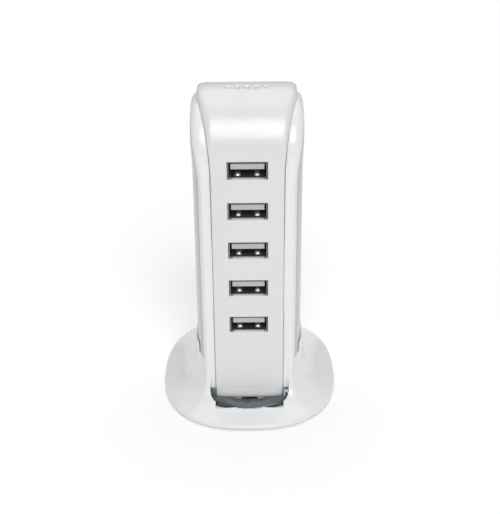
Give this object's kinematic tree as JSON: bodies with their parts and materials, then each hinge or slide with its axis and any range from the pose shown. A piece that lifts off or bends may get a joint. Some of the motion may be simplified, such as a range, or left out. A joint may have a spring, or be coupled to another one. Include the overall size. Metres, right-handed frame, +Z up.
{
  "type": "usb charging tower",
  "caption": "Upright desk charging tower with a flared oval base, two front rails, a strip of USB sockets that hooks over the top and a smoked indicator lens.",
  "frame": {"origin": "on the table under the middle of the base", "axes": "+Z up, the ports face -Y, +X to the right seen from the ports' back side turned to face +Y"},
  "size_m": [0.0656, 0.0794, 0.1164],
  "materials": {
    "white_abs": "gloss",
    "white_shell": "gloss",
    "satin_strip": "satin",
    "white_pips": "gloss",
    "smoked_lens": "gloss",
    "white_under": "satin",
    "rubber": "matte",
    "steel": "plated",
    "gold": "plated",
    "board_green": "satin",
    "board_tan": "matte",
    "black_plastic": "matte",
    "sheet_film": "satin",
    "ferrite": "matte",
    "winding_tape": "satin",
    "cap_sleeve": "gloss",
    "copper_wire": "enamelled",
    "yellow_case": "gloss",
    "fuse_glass": "gloss",
    "blue_disc": "gloss",
    "aluminium": "mill",
    "inlet_black": "matte",
    "nickel": "plated",
    "wire_black": "satin",
    "led_clear": "gloss",
    "wire_red": "satin",
    "nickel_shell": "dark plated",
    "tongue_plastic": "satin"
  },
  "bodies": {
    "body": {"base_frame": "white_abs", "rear_shell": "white_shell", "front_strip": "satin_strip", "top_pips": "white_pips", "led_window": "smoked_lens", "base_plate": "white_under", "rubber_feet": "rubber", "base_screws": "steel", "usb_shell_1": "nickel_shell", "usb_shell_2": "nickel_shell", "usb_shell_3": "nickel_shell", "usb_shell_4": "nickel_shell", "usb_shell_5": "nickel_shell", "usb_insulator_1": "tongue_plastic", "usb_insulator_2": "tongue_plastic", "usb_insulator_3": "tongue_plastic", "usb_insulator_4": "tongue_plastic", "usb_insulator_5": "tongue_plastic", "usb_contact_tails": "gold", "usb_board": "board_green", "board_screws": "steel", "board_header": "black_plastic", "header_pins": "gold", "insulation_sheet": "sheet_film", "main_board": "board_tan", "transformer_core": "ferrite", "transformer_winding": "winding_tape", "bulk_capacitors": "cap_sleeve", "output_capacitors": "cap_sleeve", "emi_choke": "copper_wire", "x_capacitor": "yellow_case", "fuse": "fuse_glass", "y_capacitor": "blue_disc", "bridge_rectifier": "black_plastic", "heat_sink": "aluminium", "power_switch": "black_plastic", "inlet_body": "inlet_black", "inlet_pins": "nickel", "inlet_wires": "wire_black", "led_board": "board_green", "led": "led_clear", "led_wires": "wire_red", "usb_lips": "nickel"},
    "contacts_1": {"usb_contacts_1": "gold"},
    "springs_1": {"usb_springs_1": "nickel"},
    "contacts_2": {"usb_contacts_2": "gold"},
    "springs_2": {"usb_springs_2": "nickel"},
    "contacts_3": {"usb_contacts_3": "gold"},
    "springs_3": {"usb_springs_3": "nickel"},
    "contacts_4": {"usb_contacts_4": "gold"},
    "springs_4": {"usb_springs_4": "nickel"},
    "contacts_5": {"usb_contacts_5": "gold"},
    "springs_5": {"usb_springs_5": "nickel"}
  },
  "joints": [
    {"name": "port_1_springs_flex", "type": "hinge", "parent": "body", "child": "springs_1", "pos_m": [0, -0.01735, 0.08949], "axis": [1, 0, 0], "range_deg": [0, 4.5], "stiffness_Nm_per_rad": 0.11},
    {"name": "port_1_contacts_flex", "type": "hinge", "parent": "body", "child": "contacts_1", "pos_m": [0, -0.01725, 0.0925], "axis": [-1, 0, 0], "range_deg": [0, 2.5], "stiffness_Nm_per_rad": 0.22},
    {"name": "port_2_springs_flex", "type": "hinge", "parent": "body", "child": "springs_2", "pos_m": [0, -0.01735, 0.07529], "axis": [1, 0, 0], "range_deg": [0, 4.5], "stiffness_Nm_per_rad": 0.11},
    {"name": "port_2_contacts_flex", "type": "hinge", "parent": "body", "child": "contacts_2", "pos_m": [0, -0.01725, 0.0783], "axis": [-1, 0, 0], "range_deg": [0, 2.5], "stiffness_Nm_per_rad": 0.22},
    {"name": "port_3_springs_flex", "type": "hinge", "parent": "body", "child": "springs_3", "pos_m": [0, -0.01735, 0.06109], "axis": [1, 0, 0], "range_deg": [0, 4.5], "stiffness_Nm_per_rad": 0.11},
    {"name": "port_3_contacts_flex", "type": "hinge", "parent": "body", "child": "contacts_3", "pos_m": [0, -0.01725, 0.0641], "axis": [-1, 0, 0], "range_deg": [0, 2.5], "stiffness_Nm_per_rad": 0.22},
    {"name": "port_4_springs_flex", "type": "hinge", "parent": "body", "child": "springs_4", "pos_m": [0, -0.01735, 0.04689], "axis": [1, 0, 0], "range_deg": [0, 4.5], "stiffness_Nm_per_rad": 0.11},
    {"name": "port_4_contacts_flex", "type": "hinge", "parent": "body", "child": "contacts_4", "pos_m": [0, -0.01725, 0.0499], "axis": [-1, 0, 0], "range_deg": [0, 2.5], "stiffness_Nm_per_rad": 0.22},
    {"name": "port_5_springs_flex", "type": "hinge", "parent": "body", "child": "springs_5", "pos_m": [0, -0.01735, 0.03269], "axis": [1, 0, 0], "range_deg": [0, 4.5], "stiffness_Nm_per_rad": 0.11},
    {"name": "port_5_contacts_flex", "type": "hinge", "parent": "body", "child": "contacts_5", "pos_m": [0, -0.01725, 0.0357], "axis": [-1, 0, 0], "range_deg": [0, 2.5], "stiffness_Nm_per_rad": 0.22}
  ]
}
